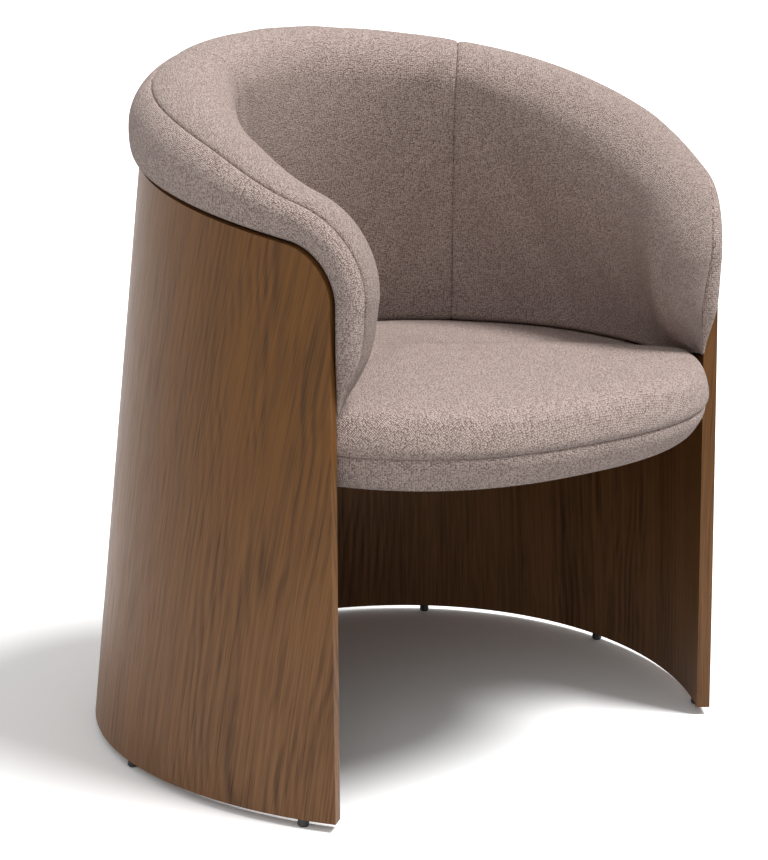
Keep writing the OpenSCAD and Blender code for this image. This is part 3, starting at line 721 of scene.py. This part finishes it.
def rounded_arms(face, q, low_j, high_j):
    """Shift that rounds the arms: between two rows, the section follows one cubic curve through its two end
    points with their slopes, start x (2s^3 - 3s^2 + 1) + slope x (s^3 - 2s^2 + s) and the same from the other
    end, with s the share of its length. Nothing moves at the back."""
    span = face[:, low_j:high_j + 1]
    length = run_length(span, 1)
    s = (length / length[:, -1:])[..., None]
    start, end = span[:, :1], span[:, -1:]
    chord = np.linalg.norm(end - start, axis=-1, keepdims=True)
    slope = [face[:, j + 1:j + 2] - face[:, j - 1:j] for j in (low_j, high_j)]
    out, back = (chord * d / np.linalg.norm(d, axis=-1, keepdims=True) for d in slope)
    round_line = (start * (2 * s**3 - 3 * s**2 + 1) + out * (s**3 - 2 * s**2 + s) * 0.9
                  + end * (3 * s**2 - 2 * s**3) + back * (s**3 - s**2) * 1.1)
    shift = np.zeros_like(face)
    shift[:, low_j:high_j + 1] = (round_line - span) * smooth((np.abs(q) - 1.3) / 1.9)[:, None, None]
    return shift


def make_back(cloth, stuffing):
    """Back pad: three panels up to the long seam on the roll, a facing strip outside it, and the foam."""
    q = pad_steps()
    t, over = pad_section()
    seam_j = len(t) + int(np.argmin(np.abs(over - SEAM_ROLL)))
    lean = np.clip(np.concatenate([t, 1 + (90 - over) / 130]), 0, 1.6) / 1.6
    face, lining, core = (pad_outside(q, t, over, off) for off in (0.0, CLOTH_T, CLOTH_T + SOFT_GAP))
    soft = rounded_arms(face, q, 10, len(t) + int(np.argmin(np.abs(over - 48))))
    face, lining, core, soft = (drawn_over(grid, q, lean) for grid in (face, lining, core, soft))
    k0, k1 = (int(np.argmin(np.abs(q - s))) for s in (-SEAM_Q, SEAM_Q))
    along, up = run_length(face, 0), run_length(face, 1)
    from_side = np.minimum(np.abs(along - along[k0:k0 + 1]), np.abs(along - along[k1:k1 + 1]))
    from_long = np.abs(up - up[:, seam_j:seam_j + 1])
    stuffed = smooth(up[:, -1:] / 130)
    rows = np.arange(face.shape[1])[None, :]
    dip = seam_dip(from_side, *UPRIGHT_SEAM) * smooth((seam_j + 4 - rows) / 4) + seam_dip(from_long, *LONG_SEAM)
    dip = dip * stuffed
    n = normals(face + soft)
    top_row = int(np.argmin(np.abs(over)))
    turned = n[len(q) // 2, len(t) + top_row, 2] < 0
    if turned:
        n = -n
    low_j, last_j = int(np.sum(t <= 0)), face.shape[1] - 1
    index = np.arange(len(q))[:, None]
    held = (rows <= low_j) | (rows == last_j) | (rows == seam_j) | (index < 3) | (index > len(q) - 4)
    held = held | (((index == k0) | (index == k1)) & (rows <= seam_j))
    puff = filled_out(face + soft, held, net_lines(len(q), 4, [0, k0, len(q) // 2, k1, len(q) - 1]),
                      net_lines(last_j + 1, 3, [0, low_j, seam_j, last_j]), turned)
    shift = soft + puff - n * dip[..., None]
    face, lining, core = face + shift, lining + shift, core + shift
    inside_j, shape = int(np.argmin(np.abs(over - 40))) + len(t), up.shape
    around = along - along[len(q) // 2][None]
    panel_uv = np.stack([mix(around, np.broadcast_to(around[:, inside_j, None], shape), 0.5), up], -1)
    facing_uv = np.stack([np.broadcast_to(along[:, seam_j, None], shape), up - up[:, seam_j, None]], -1)
    quads = grid_quads(*face.shape[:2])
    parts = [
        ("back_panel_centre", quads[k0:k1, :seam_j], "back_cover_centre"),
        ("back_panel_left", quads[:k0, :seam_j], "back_cover_left"),
        ("back_panel_right", quads[k1:, :seam_j], "back_cover_right"),
        ("roll_facing_strip", quads[:, seam_j:], "roll_facing"),
    ]
    for name, cells, node in parts:
        closed_sheet(name, face, lining, cells, facing_uv if node == "roll_facing" else panel_uv, cloth,
                     (node,))
    closed_sheet("back_foam_pad", core, back_inside(q, face.shape[1]), quads, panel_uv, stuffing,
                 ("back_foam",))


def back_inside(q, rows):
    """The foam's inside: up the carrier, over its top edge and down to the rim, then spread evenly over
    as many rows as the outside has."""
    s = np.abs(q)[:, None]
    on, (fa, fz), (ra, rz), e = s < 3.35, pad_foot(s), rim(s), roll(s)
    n = np.where(on, CARRIER_T + 3 * SOFT_GAP, np.minimum(SOFT_GAP, 0.1 * e[1]))
    slot = np.where(on, 0.42 * ROLL_H * spline(ROLL_H_SHARES, s), 0.1 * e[0])
    low = np.array([0, 0.3, 0.6, 0.95])[None]
    start = at(mix(fa, ra, low), mix(fz, rz, low), WALL + n)
    h = slot * np.array([0.5, 0.95, 1, 1, 0.95, 0.6, 0.4, 0.2])[None]
    depth = n * np.array([1, 1, 0.7, 0.3, 0, 0, 0, 0])[None]
    end = near_rim(s, np.where(on, SOFT_GAP, 0.02 * e[0]), 0.0)
    line = np.concatenate([start, near_rim(s, h, depth), end], 1)
    x = np.linspace(0, line.shape[1] - 1, rows)
    i = np.minimum(x.astype(int), line.shape[1] - 2)
    even = line[:, i] + (line[:, i + 1] - line[:, i]) * (x - i)[None, :, None]
    return mirrored(q[:, None], even)


SEAT_RINGS, BORDER_RINGS = 64, 16


def ring_steps():
    """Step in the crown's tables of each ring from the middle to the border's foot, spread by length along
    the front's profile, closer together near the seam."""
    steps = np.linspace(0, 7, 1401)
    reach = run_length(np.stack([curve(range(8), CROWN_D, steps), curve(range(8), CROWN_UP, steps)], -1)[None], 1)[0]
    index = np.arange(SEAT_RINGS + BORDER_RINGS + 1)
    return index, np.interp(reach[-1] * np.clip(1 - index / SEAT_RINGS, 0, 1) ** 1.35, reach, steps)


def seat_surface(off):
    """The seat's cover: inner rings climb the crown from the seam, outer rings run down the border. Each
    ring's inset and height follow tables; past EDGE_D the inset turns into a share by which the outline
    shrinks to the middle."""
    ring, angle = round_grid(SEAT_RINGS + BORDER_RINGS)
    index, step = ring_steps()
    w = front_weight(angle)
    pick = ring.astype(int)
    d = mix(curve(range(8), PRESSED_D, step)[pick], curve(range(8), CROWN_D, step)[pick], w)
    up = mix(curve(range(8), PRESSED_UP, step)[pick], curve(range(8), CROWN_UP, step)[pick], w)
    share = np.maximum(0, d - EDGE_D) / (CROWN_D[-1] - EDGE_D)
    level = up / CROWN_H
    down = np.clip((index - SEAT_RINGS) / BORDER_RINGS, 0, 1)[pick]
    low = 1 - down ** 1.15
    border = ring > SEAT_RINGS
    inset = np.where(border, BORDER_R * curve(BORDER_UP, BORDER_IN, low) + off,
                     np.minimum(d, EDGE_D) * (1 - share) + off * (1 - level**2))
    z = np.where(border, SEAT_H + BORDER_H * low + off * down, SEAM_Z + up - off * np.sqrt(level))
    radius = seat_radius(angle, inset) * (1 - share)
    points = np.stack([radius * np.sin(angle), radius * np.cos(angle) + SEAT_Y - MID_Y, z], -1)
    return points, ring, angle


def cloth_reach():
    """Length of cloth from the seat's middle to each ring of the top cover, along the front's profile, as a
    share of the seat's depth."""
    step = ring_steps()[1][:SEAT_RINGS + 1]
    share = 1 - np.maximum(0, curve(range(8), CROWN_D, step) - EDGE_D) / (CROWN_D[-1] - EDGE_D)
    line = np.stack([SEAT_FRONT * share, curve(range(8), CROWN_UP, step)], -1)
    return run_length(line[None], 1)[0] / SEAT_FRONT


def make_seat(cloth, stuffing):
    """Seat: a crowned top panel sewn to a border band all round, over one block of foam."""
    face, ring, angle = seat_surface(0.0)
    lining, core = seat_surface(CLOTH_T)[0], seat_surface(CLOTH_T + SOFT_GAP)[0]
    n = normals(face)
    turned = n[len(ring) // 2, len(ring) // 2, 2] < 0
    if turned:
        n = -n
    flat = np.hypot(face[..., 0], face[..., 1] - SEAT_Y + MID_Y)
    distance = np.hypot(flat - seat_radius(angle, CROWN_D[0]), face[..., 2] - SEAM_Z)
    held = (ring == SEAT_RINGS) | (ring == SEAT_RINGS + BORDER_RINGS) | (front_weight(angle) < 0.15)
    lines = np.arange(0, len(ring), 4)
    shift = filled_out(face, held, lines, lines, turned)
    shift = shift * smooth(front_weight(angle) * 2)[..., None] - seam_dip(distance, *SEAT_SEAM)[..., None] * n
    face, lining, core = face + shift, lining + shift, core + shift
    border = ring >= SEAT_RINGS
    turn = np.linspace(-math.pi / 4, 2 * math.pi - math.pi / 4, 721)
    outline = seat_radius(turn, 0.0)
    edge = run_length(np.stack([outline * np.sin(turn), outline * np.cos(turn)], -1)[None], 1)[0]
    around = np.stack([np.interp(angle, turn, edge), face[..., 2] - SEAM_Z], -1)
    reach = seat_radius(angle, 0.0) * cloth_reach()[np.minimum(ring.astype(int), SEAT_RINGS)]
    uv = np.stack([reach * np.cos(angle), reach * np.sin(angle)], -1)
    size = len(ring)
    quads = grid_quads(size, size)
    band = border.reshape(-1)[quads].all(-1)
    closed_sheet("seat_top_panel", face, lining, quads[~band], uv, cloth, ("seat_top_cover",))
    closed_sheet("seat_border_band", face, lining, quads[band], around, cloth,
                 ("seat_border_cover",))
    rest = BORDER_R + DECK_IN - SOFT_GAP
    hollow = SEAT_H + DECK_T + DUST_T + 1.5 + SOFT_GAP
    down = np.clip((ring - SEAT_RINGS) / BORDER_RINGS, 0, 1)
    radius = seat_radius(angle, rest) * np.clip(ring / SEAT_RINGS, 0, 1)
    bed = np.stack([radius * np.sin(angle), radius * np.cos(angle) + SEAT_Y - MID_Y,
                    mix(hollow, SEAT_H + DUST_T + 4.2, down)], -1)
    closed_sheet("seat_foam_block", core, bed, quads, uv, stuffing, ("seat_foam",))


def make_dust_cloth(finish):
    """Thin black cloth stapled under the deck, stretched flat."""
    ring, angle = round_grid(30)
    radius = seat_radius(angle, 1.2 * BORDER_R) * ring / 30
    low = np.stack([radius * np.sin(angle), radius * np.cos(angle) + SEAT_Y - MID_Y,
                    np.full(ring.shape, float(SEAT_H))], -1)
    quads = grid_quads(*ring.shape)
    obj = closed_sheet("dust_cloth", low, low + [0, 0, DUST_T], quads, low[..., :2], finish,
                       ("seat_dust_cover",))


def dress_node(node, finish):
    """Gives a CAD node its finish."""
    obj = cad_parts[node]
    obj.data.materials.clear()
    obj.data.materials.append(finish)


def sun(name, azimuth, height, strength, softness):
    """Even light from a direction: azimuth from the chair's front towards its right, and height, in
    degrees. softness is the size of the light in the sky, in degrees."""
    lamp = bpy.data.lights.new(name, "SUN")
    lamp.energy, lamp.angle = strength, math.radians(softness)
    obj = bpy.data.objects.new(name, lamp)
    a, h = math.radians(azimuth), math.radians(height)
    way = Vector((math.sin(a) * math.cos(h), -math.cos(a) * math.cos(h), math.sin(h)))
    obj.rotation_euler = way.to_track_quat("Z", "Y").to_euler()
    bpy.context.scene.collection.objects.link(obj)


def make_studio():
    """The floor, two plain soft lights and a sky, which is white where it is seen and lower as light."""
    floor = bpy.data.meshes.new("floor")
    reach = 60.0
    floor.from_pydata([(x * reach, y * reach, 0) for x, y in ((-1, -1), (1, -1), (1, 1), (-1, 1))], [],
                      [(0, 1, 2, 3)])
    obj = bpy.data.objects.new("floor", floor)
    bpy.context.scene.collection.objects.link(obj)
    floor.materials.append(floor_paint())
    world = bpy.data.worlds.new("studio")
    bpy.context.scene.world = world
    world.use_nodes = True
    tree = world.node_tree
    level = tree.nodes.new("ShaderNodeMix")
    level.inputs[2].default_value, level.inputs[3].default_value = SKY_LEVEL, 1.0
    tree.links.new(seen(tree), level.inputs[0])
    tree.links.new(level.outputs[0], tree.nodes["Background"].inputs["Strength"])
    tree.nodes["Background"].inputs["Color"].default_value = (1, 1, 1, 1)
    sun("key_light", 38, 62, 3.3, 20)
    sun("left_light", -50, 33, 0.38, 42)


def make_camera():
    """The photograph's view: direction and distance from a target, and the lens, from the fit to it."""
    azimuth, height, distance = math.radians(-37.0051), math.radians(13.5247), 2.1875
    target = Vector((-0.031457, -MID_Y * METRE, 0.33039))
    way = Vector((math.sin(azimuth) * math.cos(height), -math.cos(azimuth) * math.cos(height), math.sin(height)))
    lens = bpy.data.cameras.new("camera")
    lens.lens, lens.sensor_width, lens.sensor_fit = 83.646, 36, "AUTO"
    obj = bpy.data.objects.new("camera", lens)
    obj.matrix_world = Matrix.Translation(target + distance * way) @ way.to_track_quat("Z", "Y").to_matrix().to_4x4()
    bpy.context.scene.collection.objects.link(obj)
    bpy.context.scene.camera = obj


def main():
    bpy.context.scene.view_settings.view_transform = "Standard"
    make_camera()
    make_studio()
    cloth, stuffing, steel = upholstery(), foam(), zinc_steel()
    make_shell(oak_veneer())
    make_back(cloth, stuffing)
    make_seat(cloth, stuffing)
    make_dust_cloth(black_cloth())
    beech = plain_wood("beech_cleat", colour(196, 158, 116), colour(150, 110, 74), 0)
    birch = plain_wood("birch_plywood", colour(216, 190, 148), colour(170, 132, 92), 0.0015)
    dress_node("glides", moulded_nylon())
    for node in ("seat_rail_left", "seat_rail_right", "seat_rail_back"):
        dress_node(node, beech)
    for node in ("seat_deck", "pad_carrier"):
        dress_node(node, birch)
    for node in ("glide_pins", "rail_screws", "deck_tee_nuts", "deck_bolts", "carrier_screws"):
        dress_node(node, steel)


main()
